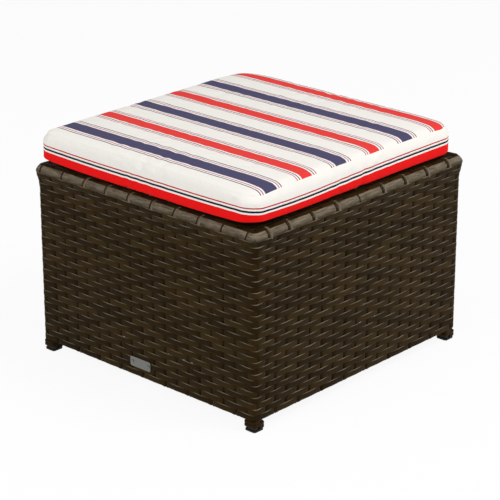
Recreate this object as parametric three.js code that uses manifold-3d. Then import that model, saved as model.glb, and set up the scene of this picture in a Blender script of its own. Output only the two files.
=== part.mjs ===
// Outdoor ottoman footstool: a woven box on a tube frame, with a loose zipped seat cushion.
// Lengths are millimetres and +Z is up. The origin lies on the floor under the middle of the box.
// The front of the box, which carries the name plate, faces -Y.
import * as THREE from 'three';
import { mergeVertices } from 'three/addons/utils/BufferGeometryUtils.js';
import Module from 'manifold-3d';

const wasm = await Module();
wasm.setup();

// Overall sizes of the woven box
const boxWidth = 490;
const boxDepth = 514;
const rimHeight = 335;
const hemHeight = 20;

// Gap between two pieces that rest on or fit in each other
const seatGap = 0.3;

// Woven skin
const skinThickness = 3;
const skinCornerRadius = 4;
const skinInnerCornerRadius = 0.5;
const rimFlare = 4.5;
const rimCornerRadius = 8;
const flareLength = 29;
const flareSteps = 5;
const rollSteps = 7;
const rollEndShare = 0.72;
const cornerSteps = 3;

// Steel frame
const legSize = 19;
const legWall = 1.5;
const legEdgeRadius = 2.5;
const topRailDiameter = 19;
const bottomRailDiameter = 16;
const railWall = 1.5;
const railClearanceOverHem = 2;
const railSegments = 8;
const deckBarCount = 3;
const deckBarWidth = 20;
const deckBarHeight = 12;
const deckBarWall = 1.2;
const deckBarEdgeRadius = 1.6;
const edgeSegments = 2;

// Woven seat deck
const deckThickness = 4;

// Feet
const wrapThickness = 2;
const glideFlange = 22;
const glideFlangeHeight = 3;
const glideEdgeRadius = 4;
const glideStemLength = 24;

// Name plate, bare, and its two rivets
const plateWidth = 46;
const plateHeight = 17;
const plateThickness = 1;
const plateCornerRadius = 3;
const plateOverHem = 24;
const plateOffMiddle = 7;
const rivetEndInset = 5;
const rivetShankDiameter = 3;
const rivetHeadDiameter = 5.6;
const rivetHeadHeight = 1.2;
const rivetBulbDiameter = 5;
const rivetBulbLength = 3;
const rivetSegments = 12;
const rivetHoleSegments = 6;

// Cushion
const cushionUndersize = 8;
const cushionOffMiddle = 3.5;
const cushionThickness = 56.5;
const cushionCornerRadius = 24;
const cushionCrown = 4;
const cushionDrawIn = 2;
const topRollRadius = 20;
const bottomRollReach = 36;
const bottomRollRise = 12;
const topSeamShare = 0.64;
const bottomSeamShare = 0.3;
const coverThickness = 1.5;
const cushionCornerSteps = 4;
const cushionSideSteps = 4;
const crownShares = [0.35, 0.7, 1];
const boxingRollSteps = 2;
const panelRollSteps = 2;

// Zip in the back of the cushion
const zipEndInset = 42;
const zipTapeHeight = 7;
const zipUnderRoll = 6;
const zipChainHeight = 3;
const zipChainRise = 0.8;
const sliderLength = 12;
const sliderHeight = 9;
const sliderThickness = 3;
const sliderLugThickness = 1.2;
const sliderLugRadius = 1.9;
const pullPinRadius = 0.8;
const pullPinRise = 2.6;
const pullEyeRadius = 2.2;
const pullEyeWidth = 3.6;
const pullWidth = 7;
const pullThickness = 1.6;
const pullLength = 24;
const pullShoulder = 3;
const pullCornerRadius = 1.5;
const zipSegments = 6;
const cutOverrun = 2;

// Worked-out places
const halfWidth = boxWidth / 2;
const halfDepth = boxDepth / 2;
const rollRadius = topRailDiameter / 2 + seatGap + skinThickness;
const rollCentreOut = rimFlare - rollRadius;
const rollCentreHeight = rimHeight - rollRadius;
const legFaceOut = -(skinThickness + seatGap);
const legCentreOut = legFaceOut - legSize / 2;
const legBottom = glideFlangeHeight + seatGap;
const legTop = rollCentreHeight - topRailDiameter / 2 - seatGap;
const mitreShift = seatGap / Math.SQRT2;
const bottomRailHeight = hemHeight + railClearanceOverHem + bottomRailDiameter / 2;
const rollEnd = Math.PI * rollEndShare;
const deckEdgeOut = rollCentreOut + rollRadius * Math.cos(rollEnd) - seatGap;
const deckBottom = rimHeight - deckThickness;
const cushionWidth = boxWidth - cushionUndersize;
const cushionDepth = boxDepth - cushionUndersize;
const cushionBottom = rimHeight + seatGap;
const cushionTop = cushionBottom + cushionThickness;
const topRollStart = cushionTop - topRollRadius;
const bottomRollStart = cushionBottom + bottomRollRise;
const quarterTurn = Math.PI / 2;
const topSeamAngle = quarterTurn * topSeamShare;
const bottomSeamAngle = quarterTurn * bottomSeamShare;
const zipLength = cushionWidth - 2 * zipEndInset;
const zipHeight = topRollStart - zipUnderRoll;
const zipSlotHeight = zipTapeHeight + 2 * seatGap;
const sliderStart = -(zipLength - sliderLength) / 2;
const plateHeightOnWall = hemHeight + plateOverHem;
const plateTop = plateHeightOnWall + plateHeight / 2;
const plateRings = [-1, 0, 1].map((end) => end * plateWidth / 2 - plateOffMiddle);

// Finishes
const finishes = {
  wicker: { color: 0x3f3628, roughness: 0.55, metalness: 0 },
  frame: { color: 0x2b241b, roughness: 0.5, metalness: 0.4 },
  glide: { color: 0x1c1b1a, roughness: 0.6, metalness: 0 },
  plate: { color: 0x9c9e9b, roughness: 0.35, metalness: 0.9 },
  stripedCloth: { color: 0xf0ede6, roughness: 0.9, metalness: 0 },
  boxingCloth: { color: 0xd8302c, roughness: 0.9, metalness: 0 },
  foam: { color: 0xe8dfae, roughness: 1, metalness: 0 },
  zipTape: { color: 0xdedbd2, roughness: 0.8, metalness: 0 },
  zipMetal: { color: 0xb5b3ad, roughness: 0.3, metalness: 0.9 },
};

function piece(name, geometry, finish) {
  const mesh = new THREE.Mesh(geometry, new THREE.MeshStandardMaterial(finishes[finish]));
  mesh.name = name;
  return mesh;
}

// The geometry of a list of [x, y, z] points and a list of triangles
function geometryOf(points, faces) {
  const geometry = new THREE.BufferGeometry();
  geometry.setAttribute('position', new THREE.Float32BufferAttribute(points.flat(), 3));
  geometry.setIndex(faces.flat());
  return geometry;
}

// A closed surface over a stack of rings that hold equally many points.
// The two ends are joined to each other, closed by fans to two pole points, or capped flat.
function loft(rings, { joined = false, poles = null, caps = null }) {
  const count = rings[0].length;
  const last = rings.length - 1;
  const points = rings.flat();
  const faces = [];
  const bridge = (a, b) => {
    for (let j = 0; j < count; j++) {
      const k = (j + 1) % count;
      faces.push([a * count + j, b * count + j, b * count + k]);
      faces.push([a * count + j, b * count + k, a * count + k]);
    }
  };
  for (let i = 0; i < last; i++) bridge(i, i + 1);
  if (joined) bridge(last, 0);
  if (poles) {
    const first = points.push(poles[0]) - 1;
    const second = points.push(poles[1]) - 1;
    for (let j = 0; j < count; j++) {
      const k = (j + 1) % count;
      faces.push([first, j, k]);
      faces.push([second, last * count + k, last * count + j]);
    }
  }
  if (caps) {
    for (const [a, b, c] of caps) {
      faces.push([a, b, c]);
      faces.push([last * count + a, last * count + c, last * count + b]);
    }
  }
  return geometryOf(points, faces);
}

// A geometry as a manifold-3d solid, and back
function toSolid(geometry) {
  const bare = geometry.clone();
  bare.deleteAttribute('normal');
  bare.deleteAttribute('uv');
  const merged = mergeVertices(bare);
  return new wasm.Manifold(new wasm.Mesh({
    numProp: 3,
    vertProperties: new Float32Array(merged.attributes.position.array),
    triVerts: new Uint32Array(merged.index.array),
  }));
}

function fromSolid(solid) {
  const mesh = solid.getMesh();
  const geometry = new THREE.BufferGeometry();
  geometry.setAttribute('position', new THREE.BufferAttribute(mesh.vertProperties, 3));
  geometry.setIndex(new THREE.BufferAttribute(mesh.triVerts, 1));
  return geometry;
}

function joinGeometries(...parts) {
  return fromSolid(parts.map(toSolid).reduce((whole, part) => whole.add(part)));
}

function cutGeometry(body, ...cuts) {
  return fromSolid(cuts.map(toSolid).reduce((whole, cut) => whole.subtract(cut), toSolid(body)));
}

// A rectangle with round corners, centred on the origin
function roundedRectangle(width, height, radius, path = new THREE.Shape()) {
  const x = width / 2 - radius;
  const y = height / 2 - radius;
  path.absarc(x, y, radius, 0, Math.PI / 2);
  path.absarc(-x, y, radius, Math.PI / 2, Math.PI);
  path.absarc(-x, -y, radius, Math.PI, 1.5 * Math.PI);
  path.absarc(x, -y, radius, 1.5 * Math.PI, 2 * Math.PI);
  return path;
}

function disc(radius, path = new THREE.Shape()) {
  path.absarc(0, 0, radius, 0, 2 * Math.PI);
  return path;
}

// A prism along +Z that starts at the given height
function prism(shape, start, length, curveSegments = edgeSegments) {
  const geometry = new THREE.ExtrudeGeometry(shape, { depth: length, bevelEnabled: false, curveSegments });
  return geometry.translate(0, 0, start);
}

// A rectangular tube along +Z
function rectangularTube(width, height, radius, wall, start, length) {
  const shape = roundedRectangle(width, height, radius);
  shape.holes.push(roundedRectangle(width - 2 * wall, height - 2 * wall, radius - wall, new THREE.Path()));
  return prism(shape, start, length);
}

// A round tube along X, centred on the origin
function roundTube(diameter, wall, length) {
  const shape = disc(diameter / 2);
  shape.holes.push(disc(diameter / 2 - wall, new THREE.Path()));
  return prism(shape, -length / 2, length, railSegments).rotateY(Math.PI / 2);
}

// The four sides, each built as the front and turned into place.
// half is half of the side's length, and out is how far the side is from the middle.
const sides = [
  { name: 'front', turn: 0, half: halfWidth, out: halfDepth },
  { name: 'right', turn: Math.PI / 2, half: halfDepth, out: halfWidth },
  { name: 'back', turn: Math.PI, half: halfWidth, out: halfDepth },
  { name: 'left', turn: -Math.PI / 2, half: halfDepth, out: halfWidth },
];

const corners = [
  { name: 'front_left', x: -1, y: -1 },
  { name: 'front_right', x: 1, y: -1 },
  { name: 'back_right', x: 1, y: 1 },
  { name: 'back_left', x: -1, y: 1 },
];

const cornerPlace = (corner) => [
  corner.x * (halfWidth + legCentreOut),
  corner.y * (halfDepth + legCentreOut),
];

// Legs, glides and foot wraps
function leg(corner) {
  const tube = rectangularTube(legSize, legSize, legEdgeRadius, legWall, legBottom, legTop - legBottom);
  return piece(`leg_${corner.name}`, tube.translate(...cornerPlace(corner), 0), 'frame');
}

function footGlide(corner) {
  const stemSize = legSize - 2 * legWall - 2 * seatGap;
  const stemRadius = legEdgeRadius - legWall;
  const flange = prism(roundedRectangle(glideFlange, glideFlange, glideEdgeRadius), 0, glideFlangeHeight);
  const stemSection = roundedRectangle(stemSize, stemSize, stemRadius);
  const stem = prism(stemSection, glideFlangeHeight / 2, glideStemLength);
  const glide = joinGeometries(flange, stem);
  return piece(`foot_glide_${corner.name}`, glide.translate(...cornerPlace(corner), 0), 'glide');
}

function footWrap(corner) {
  const size = legSize + 2 * (seatGap + wrapThickness);
  const radius = legEdgeRadius + seatGap + wrapThickness;
  const length = hemHeight - seatGap - legBottom;
  const sleeve = rectangularTube(size, size, radius, wrapThickness, legBottom, length);
  return piece(`foot_wrap_${corner.name}`, sleeve.translate(...cornerPlace(corner), 0), 'wicker');
}

// Top rail, its ends mitred with the next rails at the corners
function topRail(side) {
  const run = 2 * (side.half + rollCentreOut);
  const tube = roundTube(topRailDiameter, railWall, run);
  const position = tube.attributes.position;
  for (let i = 0; i < position.count; i++) {
    const end = Math.sign(position.getX(i));
    position.setX(i, position.getX(i) - end * (position.getY(i) + mitreShift));
  }
  tube.translate(0, -(side.out + rollCentreOut), rollCentreHeight);
  return piece(`top_rail_${side.name}`, tube, 'frame');
}

function bottomRail(side) {
  const run = 2 * (side.half + legCentreOut - legSize / 2 - seatGap);
  const tube = roundTube(bottomRailDiameter, railWall, run);
  tube.translate(0, -(side.out + legCentreOut), bottomRailHeight);
  return piece(`bottom_rail_${side.name}`, tube, 'frame');
}

// Bars under the deck, from the left top rail to the right one
function deckBars() {
  const length = 2 * (halfWidth + rollCentreOut - topRailDiameter / 2 - seatGap);
  const height = deckBottom - seatGap - deckBarHeight / 2;
  const spacing = 2 * (halfDepth + rollCentreOut) / (deckBarCount + 1);
  return Array.from({ length: deckBarCount }, (_, i) => {
    const bar = rectangularTube(
      deckBarHeight, deckBarWidth, deckBarEdgeRadius, deckBarWall, -length / 2, length);
    bar.rotateY(Math.PI / 2);
    bar.translate(0, (i - (deckBarCount - 1) / 2) * spacing, height);
    return piece(`deck_bar_${i + 1}`, bar, 'frame');
  });
}

// Section of the woven skin, as distances out from the wall's plane and up from the floor, each with
// the corner radius there. It rises from the hem, flares out and rolls over the top rail.
function skinSection() {
  const flareStart = rollCentreHeight - flareLength;
  const ease = (share) => (1 - Math.cos(Math.PI * share)) / 2;
  const line = (inset, wallCorner, rimCorner) => {
    const points = [[-inset, hemHeight, wallCorner], [-inset, plateTop, wallCorner]];
    for (let i = 0; i < flareSteps; i++) {
      const share = i / flareSteps;
      const corner = wallCorner + (rimCorner - wallCorner) * ease(share);
      points.push([rimFlare * ease(share) - inset, flareStart + share * flareLength, corner]);
    }
    for (let i = 0; i <= rollSteps; i++) {
      const angle = rollEnd * i / rollSteps;
      const radius = rollRadius - inset;
      const out = rollCentreOut + radius * Math.cos(angle);
      points.push([out, rollCentreHeight + radius * Math.sin(angle), rimCorner]);
    }
    return points;
  };
  return [
    ...line(0, skinCornerRadius, rimCornerRadius),
    ...line(skinThickness, skinInnerCornerRadius, skinInnerCornerRadius).reverse(),
  ];
}

// One woven wall, from the middle of one corner to the middle of the next. The front wall also has
// a ring at the ends and the middle of the name plate, so that the faces round its holes stay short.
function wovenWall(side) {
  const section = skinSection();
  const straightStation = (x) => section.map(([out, up]) => [x, -(side.out + out), up]);
  const station = (end, angle) => section.map(([out, up, radius]) => {
    const x = side.half + out - radius - mitreShift + radius * Math.sin(angle);
    const y = side.out + out - radius + radius * Math.cos(angle);
    return [end * x, -y, up];
  });
  const angles = Array.from({ length: cornerSteps + 1 }, (_, i) => Math.PI / 4 * i / cornerSteps);
  const rings = [
    ...angles.toReversed().map((angle) => station(-1, angle)),
    ...(side.name === 'front' ? plateRings : []).map(straightStation),
    ...angles.map((angle) => station(1, angle)),
  ];
  const outline = section.map(([out, up]) => new THREE.Vector2(out, up));
  return loft(rings, { caps: THREE.ShapeUtils.triangulateShape(outline, []) });
}

function wovenWallPiece(side) {
  let wall = wovenWall(side);
  if (side.name === 'front') wall = cutGeometry(wall, ...Object.keys(rivetSides).map(rivetHole));
  return piece(`woven_wall_${side.name}`, wall, 'wicker');
}

function wovenDeck() {
  const shape = roundedRectangle(
    2 * (halfWidth + deckEdgeOut), 2 * (halfDepth + deckEdgeOut), rimCornerRadius);
  return piece('woven_deck', prism(shape, deckBottom, deckThickness), 'wicker');
}

// Name plate and rivets, on the front wall
const rivetAway = plateWidth / 2 - rivetEndInset;
const rivetSides = { left: -1, right: 1 };
const plateBack = -(halfDepth + seatGap);
const rivetHoleRadius = rivetShankDiameter / 2 + seatGap;

function namePlate() {
  const shape = roundedRectangle(plateWidth, plateHeight, plateCornerRadius);
  for (const side of Object.values(rivetSides)) {
    const hole = new THREE.Path();
    hole.absarc(side * rivetAway, 0, rivetHoleRadius, 0, 2 * Math.PI);
    shape.holes.push(hole);
  }
  const plate = prism(shape, 0, plateThickness, rivetHoleSegments).rotateX(Math.PI / 2);
  return piece('name_plate', plate.translate(-plateOffMiddle, plateBack, plateHeightOnWall), 'plate');
}

const rivetPlace = (side) => rivetSides[side] * rivetAway - plateOffMiddle;

function rivetHole(side) {
  const length = skinThickness + 2 * cutOverrun;
  const hole = prism(disc(rivetHoleRadius), 0, length, rivetHoleSegments).rotateX(Math.PI / 2);
  return hole.translate(rivetPlace(side), -halfDepth + skinThickness + cutOverrun, plateHeightOnWall);
}

// A domed head, a shank through plate and wall, and the bulb that grips behind the wall
function rivet(side) {
  const grip = seatGap + plateThickness + seatGap + skinThickness + seatGap;
  const shank = rivetShankDiameter / 2;
  const head = rivetHeadDiameter / 2;
  const bulb = rivetBulbDiameter / 2;
  const shoulderShare = 0.75;
  const profile = [
    [0, rivetHeadHeight],
    [head * shoulderShare, rivetHeadHeight * shoulderShare],
    [head, 0],
    [shank, 0],
    [shank, -grip],
    [bulb, -grip],
    [bulb * shoulderShare, -grip - rivetBulbLength],
    [0, -grip - rivetBulbLength],
  ];
  const points = profile.map(([radius, up]) => new THREE.Vector2(radius, up)).reverse();
  const solid = new THREE.LatheGeometry(points, rivetSegments).rotateX(Math.PI);
  solid.translate(rivetPlace(side), plateBack - plateThickness - seatGap, plateHeightOnWall);
  return piece(`plate_rivet_${side}`, solid, 'plate');
}

// One ring of the cushion, at an inset from its widest outline and at a height.
// The front, left and right sides are drawn in between the corners. The zip keeps the back straight.
function cushionRing(inset, up, share = 1) {
  const radius = cushionCornerRadius;
  const reachX = cushionWidth / 2 - inset - radius;
  const reachY = cushionDepth / 2 - inset - radius;
  const points = [];
  for (let side = 0; side < 4; side++) {
    const alongX = side % 2 === 0;
    const reach = alongX ? reachX : reachY;
    const away = (alongX ? reachY : reachX) + radius;
    const drawIn = side === 2 ? 0 : cushionDrawIn;
    const turn = side * Math.PI / 2;
    const place = (along, out) => {
      const x = along * Math.cos(turn) + out * Math.sin(turn);
      const y = along * Math.sin(turn) - out * Math.cos(turn);
      points.push([x * share, y * share, up]);
    };
    for (let i = 0; i <= cushionSideSteps; i++) {
      const at = 2 * i / cushionSideSteps - 1;
      place(at * reach, away - drawIn * (1 - at * at));
    }
    for (let i = 1; i < cushionCornerSteps; i++) {
      const angle = Math.PI / 2 * i / cushionCornerSteps;
      place(reach + radius * Math.sin(angle), away - radius * (1 - Math.cos(angle)));
    }
  }
  return points;
}

const crownHeight = (share) => cushionTop + cushionCrown * (1 - share * share);

// Rings of the crown, from the middle outwards, at a depth under the surface
function crownRings(depth) {
  return crownShares.map((share) => cushionRing(topRollRadius, crownHeight(share) - depth, share));
}

// Angles from one to another in equal steps, both ends counted
function angleSteps(start, end, steps) {
  return Array.from({ length: steps + 1 }, (_, i) => start + (end - start) * i / steps);
}

// Rings of the rolled top and bottom edges, at angles from the widest outline and at a depth
function topRollRings(depth, angles) {
  const roll = topRollRadius - depth;
  return angles.map((angle) => (
    cushionRing(topRollRadius - roll * Math.cos(angle), topRollStart + roll * Math.sin(angle))));
}

function bottomRollRings(depth, angles) {
  const reach = bottomRollReach - depth;
  const rise = bottomRollRise - depth;
  return angles.map((angle) => (
    cushionRing(bottomRollReach - reach * Math.cos(angle), bottomRollStart - rise * Math.sin(angle))));
}

const foamDepth = coverThickness + seatGap;
const topPanelAngles = angleSteps(quarterTurn, topSeamAngle, panelRollSteps).slice(1);
const bottomPanelAngles = angleSteps(bottomSeamAngle, quarterTurn, panelRollSteps);

function foamCore() {
  const shoulder = angleSteps(topSeamAngle, 0, boxingRollSteps).slice(1);
  const rings = [
    ...crownRings(foamDepth),
    ...topRollRings(foamDepth, [...topPanelAngles, ...shoulder]),
    ...bottomRollRings(foamDepth, [0, ...bottomPanelAngles]),
  ];
  const poles = [[0, 0, crownHeight(0) - foamDepth], [0, 0, cushionBottom + foamDepth]];
  return piece('foam_core', loft(rings, { poles }), 'foam');
}

function coverTop() {
  const face = (depth) => [...crownRings(depth), ...topRollRings(depth, topPanelAngles)];
  const poles = [[0, 0, crownHeight(0)], [0, 0, crownHeight(0) - coverThickness]];
  const rings = [...face(0), ...face(coverThickness).reverse()];
  return piece('cover_top_panel', loft(rings, { poles }), 'stripedCloth');
}

function coverBottom() {
  const outside = bottomRollRings(0, bottomPanelAngles);
  const inside = bottomRollRings(coverThickness, bottomPanelAngles);
  const poles = [[0, 0, cushionBottom + coverThickness], [0, 0, cushionBottom]];
  const rings = [...inside.reverse(), ...outside];
  return piece('cover_bottom_panel', loft(rings, { poles }), 'stripedCloth');
}

// The strip of cloth round the sides, from seam to seam, with a slot for the zip at the back
function coverBoxing() {
  const high = angleSteps(topSeamAngle - seatGap / topRollRadius, 0, boxingRollSteps);
  const low = angleSteps(0, bottomSeamAngle - seatGap / bottomRollRise, 1);
  const face = (depth) => [...topRollRings(depth, high), ...bottomRollRings(depth, low)];
  const strip = loft([...face(0), ...face(coverThickness).reverse()], { joined: true });
  const slotDepth = coverThickness + 2 * cutOverrun;
  const slot = new THREE.BoxGeometry(zipLength + 2 * seatGap, slotDepth, zipSlotHeight);
  slot.translate(0, cushionDepth / 2 - coverThickness / 2, zipHeight);
  return piece('cover_boxing', cutGeometry(strip, slot), 'boxingCloth');
}

function zipTape() {
  const face = cushionDepth / 2;
  const tape = new THREE.BoxGeometry(zipLength, coverThickness, zipTapeHeight);
  tape.translate(0, face - coverThickness / 2, zipHeight);
  const chainDepth = zipChainRise + coverThickness / 2;
  const chain = new THREE.BoxGeometry(zipLength, chainDepth, zipChainHeight);
  chain.translate(0, face + zipChainRise - chainDepth / 2, zipHeight);
  return piece('zip_tape', joinGeometries(tape, chain), 'zipTape');
}

// Slider: a channel over the zip's chain, with two lugs and the pin that the pull hangs on
const sliderFace = cushionDepth / 2 + seatGap;
const pinOut = sliderFace + sliderThickness + pullPinRise;

function zipSlider() {
  const channelHalf = zipChainHeight / 2 + seatGap;
  const channelDepth = zipChainRise;
  const half = sliderHeight / 2;
  const section = new THREE.Shape([
    [0, -half],
    [sliderThickness, -half],
    [sliderThickness, half],
    [0, half],
    [0, channelHalf],
    [channelDepth, channelHalf],
    [channelDepth, -channelHalf],
    [0, -channelHalf],
  ].map(([out, up]) => new THREE.Vector2(up, out)));
  const block = prism(section, -sliderLength / 2, sliderLength);
  const lugHeight = pullPinRise + sliderThickness / 2;
  const lugAway = pullEyeWidth / 2 + seatGap + sliderLugThickness / 2;
  const lugs = [-lugAway, lugAway].flatMap((away) => {
    const stalk = new THREE.BoxGeometry(2 * sliderLugRadius, lugHeight, sliderLugThickness);
    stalk.translate(0, sliderThickness + pullPinRise - lugHeight / 2, away);
    const eye = prism(disc(sliderLugRadius), away - sliderLugThickness / 2, sliderLugThickness, zipSegments);
    return [stalk, eye.translate(0, sliderThickness + pullPinRise, 0)];
  });
  const pinLength = 2 * lugAway + sliderLugThickness;
  const pin = prism(disc(pullPinRadius), -pinLength / 2, pinLength, zipSegments);
  pin.translate(0, sliderThickness + pullPinRise, 0);
  const slider = joinGeometries(block, ...lugs, pin);
  slider.rotateY(Math.PI / 2);
  slider.translate(sliderStart, sliderFace, zipHeight);
  return piece('zip_slider', slider, 'zipMetal');
}

// Pull tab: an eye round the pin and a flat tab that hangs down
function zipPull() {
  const eye = prism(disc(pullEyeRadius), -pullEyeWidth / 2, pullEyeWidth, zipSegments).rotateY(Math.PI / 2);
  const neck = new THREE.BoxGeometry(pullEyeWidth, pullThickness, pullShoulder + pullCornerRadius);
  neck.translate(0, 0, -neck.parameters.depth / 2);
  const boreLength = pullEyeWidth + 2 * cutOverrun;
  const bore = prism(disc(pullPinRadius + seatGap), -boreLength / 2, boreLength, zipSegments);
  const tabLength = pullLength - pullShoulder;
  const tabOutline = roundedRectangle(pullWidth, tabLength, pullCornerRadius);
  const tab = prism(tabOutline, -pullThickness / 2, pullThickness);
  tab.rotateX(Math.PI / 2);
  tab.translate(0, 0, -pullShoulder - tabLength / 2);
  const pull = cutGeometry(joinGeometries(eye, neck, tab), bore.rotateY(Math.PI / 2));
  pull.translate(sliderStart, pinOut, zipHeight);
  return piece('zip_pull', pull, 'zipMetal');
}

const ottoman = new THREE.Group();
for (const corner of corners) ottoman.add(leg(corner), footGlide(corner), footWrap(corner));
for (const side of sides) {
  const face = new THREE.Group();
  face.rotation.z = side.turn;
  face.add(topRail(side), bottomRail(side), wovenWallPiece(side));
  ottoman.add(face);
}
ottoman.add(...deckBars(), wovenDeck(), namePlate());
ottoman.add(...Object.keys(rivetSides).map(rivet));
const cushion = new THREE.Group();
cushion.position.set(-cushionOffMiddle, -cushionOffMiddle, 0);
cushion.add(foamCore(), coverTop(), coverBottom(), coverBoxing(), zipTape(), zipSlider(), zipPull());
ottoman.add(cushion);

export default ottoman;
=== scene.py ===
import math

import bmesh
import bpy
import numpy as np
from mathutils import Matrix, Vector


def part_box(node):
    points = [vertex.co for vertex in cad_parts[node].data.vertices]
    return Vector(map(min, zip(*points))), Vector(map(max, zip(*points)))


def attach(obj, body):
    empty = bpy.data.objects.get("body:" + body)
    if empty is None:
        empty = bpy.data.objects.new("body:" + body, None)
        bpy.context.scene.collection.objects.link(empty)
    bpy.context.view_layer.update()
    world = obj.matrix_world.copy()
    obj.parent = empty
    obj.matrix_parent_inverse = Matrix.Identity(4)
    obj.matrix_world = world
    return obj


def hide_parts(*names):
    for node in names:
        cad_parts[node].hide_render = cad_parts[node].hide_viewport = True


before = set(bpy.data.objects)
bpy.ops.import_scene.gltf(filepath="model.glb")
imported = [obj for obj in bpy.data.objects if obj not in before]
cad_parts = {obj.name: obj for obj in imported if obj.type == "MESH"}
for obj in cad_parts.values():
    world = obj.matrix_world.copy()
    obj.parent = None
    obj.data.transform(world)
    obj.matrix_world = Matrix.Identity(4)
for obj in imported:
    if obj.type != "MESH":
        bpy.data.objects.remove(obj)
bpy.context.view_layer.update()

MM = 0.001
SEED = 7
rng = np.random.default_rng(SEED)

# Camera, at the photograph's viewing angle. The sensor's width is in millimetres, as Blender takes it
CAMERA_TURN = math.radians(42.6)
CAMERA_RISE = math.radians(21.24)
CAMERA_DISTANCE = 3490 * MM
TARGET_SIDE = -1.04 * MM
TARGET_HEIGHT = 171.26 * MM
FOCAL_PIXELS = 2061.2
FRAME_PIXELS = 500
SENSOR_WIDTH = 36

# Floor and light, with the lamps' names, places, sizes in metres and powers in watts
FLOOR_HALF_WIDTH = 80
FLOOR_TONE = 0.9
FLOOR_GLOW = 0.92
WORLD_STRENGTH = 0.45
LAMP_AIM = (0, 0, 0.2)
LAMPS = (
    ("key_light", (2.2, 0.6, 3.2), 1.4, 68),
    ("fill_light", (0.1, -3.1, 2.4), 1.5, 45),
    ("side_light", (2.4, 2.5, 0.5), 1.0, 13),
)

# Woven skin, as the frame has it
RIM_FLARE = 4.5 * MM
FLARE_LENGTH = 29 * MM
FLARE_STEPS = 12
ROLL_RADIUS = 12.8 * MM
ROLL_END = 0.72 * math.pi
ROLL_STEPS = 24
CORNER_RADIUS = 9 * MM
LEAST_RADIUS = 0.6 * MM
CORNER_BLEND = 40 * MM
right_low, right_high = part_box("woven_wall_right")
front_low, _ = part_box("woven_wall_front")
HEM_HEIGHT = right_low.z
RIM_HEIGHT = right_high.z
HALF_WIDTH = right_high.x - RIM_FLARE
HALF_DEPTH = -front_low.y - RIM_FLARE

# Strips of the weave
ROW_COUNT = 31
ROW_GROUPS = 4
ROW_CROWDING = 0.04
STRIP_OVERLAP = 0.3 * MM
STRIP_THICKNESS = 1.4 * MM
OVER_LEVEL = -0.3 * MM
CROWN_DROP = 1.1 * MM
DIVE_DEPTH = 2.9 * MM
CORNER_DIVE_DEPTH = 1.3 * MM
DIVE_WIDTH = 1.8 * MM
DIVE_SPREAD = 3.4 * MM
DIVE_SPREAD_REACH = 5 * MM
LEAST_STEP = 0.5 * MM

# Unevenness of the strips: its size, and the rings of points from one turn of it to the next
WANDER_SIZE = 0.1 * MM
SHIFT_RINGS = 14
HEIGHT_RINGS = 10
LEAST_TURNS = 4

# Stakes that the strips are woven over
FRONT_STAKE_GAPS = 18
FRONT_STAKE_INSETS = (11 * MM, 17 * MM)
RIGHT_STAKE_GAPS = 15
RIGHT_STAKE_INSETS = (7 * MM, 14 * MM)
RIGHT_CLOSE_GAPS = (21 * MM, 21 * MM, 25 * MM)
STAKE_RADIUS = 1.1 * MM
STAKE_LEVEL = -2.6 * MM
CORNER_STAKE_LEVEL = -1.3 * MM
CORNER_STAKE_FLATNESS = 0.4
STAKE_WALL_RINGS = 4
STAKE_RIM_RINGS = 16

# Band over the rim, and pads of the stake strands that show in its joints
RIM_BAND_BELOW = 0.8 * MM
RIM_BAND_WIDTH = 15 * MM
RIM_BAND_LAP = 1.2 * MM
RIM_DIVE_DEPTH = 1.5 * MM
# Share of painted highlight on the band and the pads, standing in for the light on the rim's top
RIM_HIGHLIGHT = 0.95
PAD_WIDTH = 6.4 * MM
PAD_THICKNESS = 1.1 * MM
PAD_SHIFT = 5 * MM
PAD_BELOW = 4 * MM
PAD_LEVEL = -0.5 * MM
PAD_SHARE = 0.6
PAD_RINGS = 12

# Woven deck
DECK_SINK = 0.1 * MM
DECK_END = 14 * MM
DECK_DIVE = 1.9 * MM
DECK_SPREAD_REACH = 8 * MM
DECK_STAKES = 17
DECK_STAKE_LEVEL = -1.9 * MM
DECK_STAKE_HALF_WIDTH = 2.8 * MM
DECK_STAKE_HALF_HEIGHT = 0.7 * MM
DECK_EDGE_LEVEL = -2.4 * MM
DECK_EDGE_HALF_WIDTH = 3.5 * MM
DECK_EDGE_HALF_HEIGHT = 1.1 * MM

# Strip round the feet: its turns, rings of points a turn, and width as a share of the rise of a turn
FOOT_TURNS = 2
FOOT_TURN_RINGS = 32
FOOT_STRIP_SHARE = 1.02
FOOT_SQUARENESS = 9

# Places along a gap between two stakes where a strip gets a ring of points, from the stake it dives under
GAP_SHARES = (0, 0.03, 0.055, 0.085, 0.14, 0.32, 0.64)
CORNER_SHARES = (0, 0.05, 0.1, 0.17, 0.26, 0.36, 0.46, 0.56, 0.66, 0.76, 0.88)

# A strip's section from its lower edge up the outer side and back, as shares of its width and thickness
STRIP_SECTION = np.array((
    (-0.5, -0.15), (-0.475, 0.24), (-0.4, 0.42), (0, 0.52), (0.4, 0.42), (0.475, 0.24),
    (0.5, -0.15), (0.43, -0.5), (0, -0.5), (-0.43, -0.5), (-0.5, -0.15),
))
ACROSS, THROUGH = STRIP_SECTION.T

# A round strand's section, and how near points lie that are merged
TUBE_SIDES = 6
TUBE_ANGLES = np.arange(TUBE_SIDES + 1) * 2 * math.pi / TUBE_SIDES
STRAND_MERGE = 0.001 * MM
CUSHION_MERGE = 0.01 * MM


def make_object(name, bm, body, materials):
    """A piece from a finished bmesh, riding on a body, with its finish"""
    mesh = bpy.data.meshes.new(name)
    bm.to_mesh(mesh)
    bm.free()
    for material in materials:
        mesh.materials.append(material)
    mesh.shade_smooth()
    piece = bpy.data.objects.new(name, mesh)
    bpy.context.scene.collection.objects.link(piece)
    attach(piece, body)
    return piece


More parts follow.
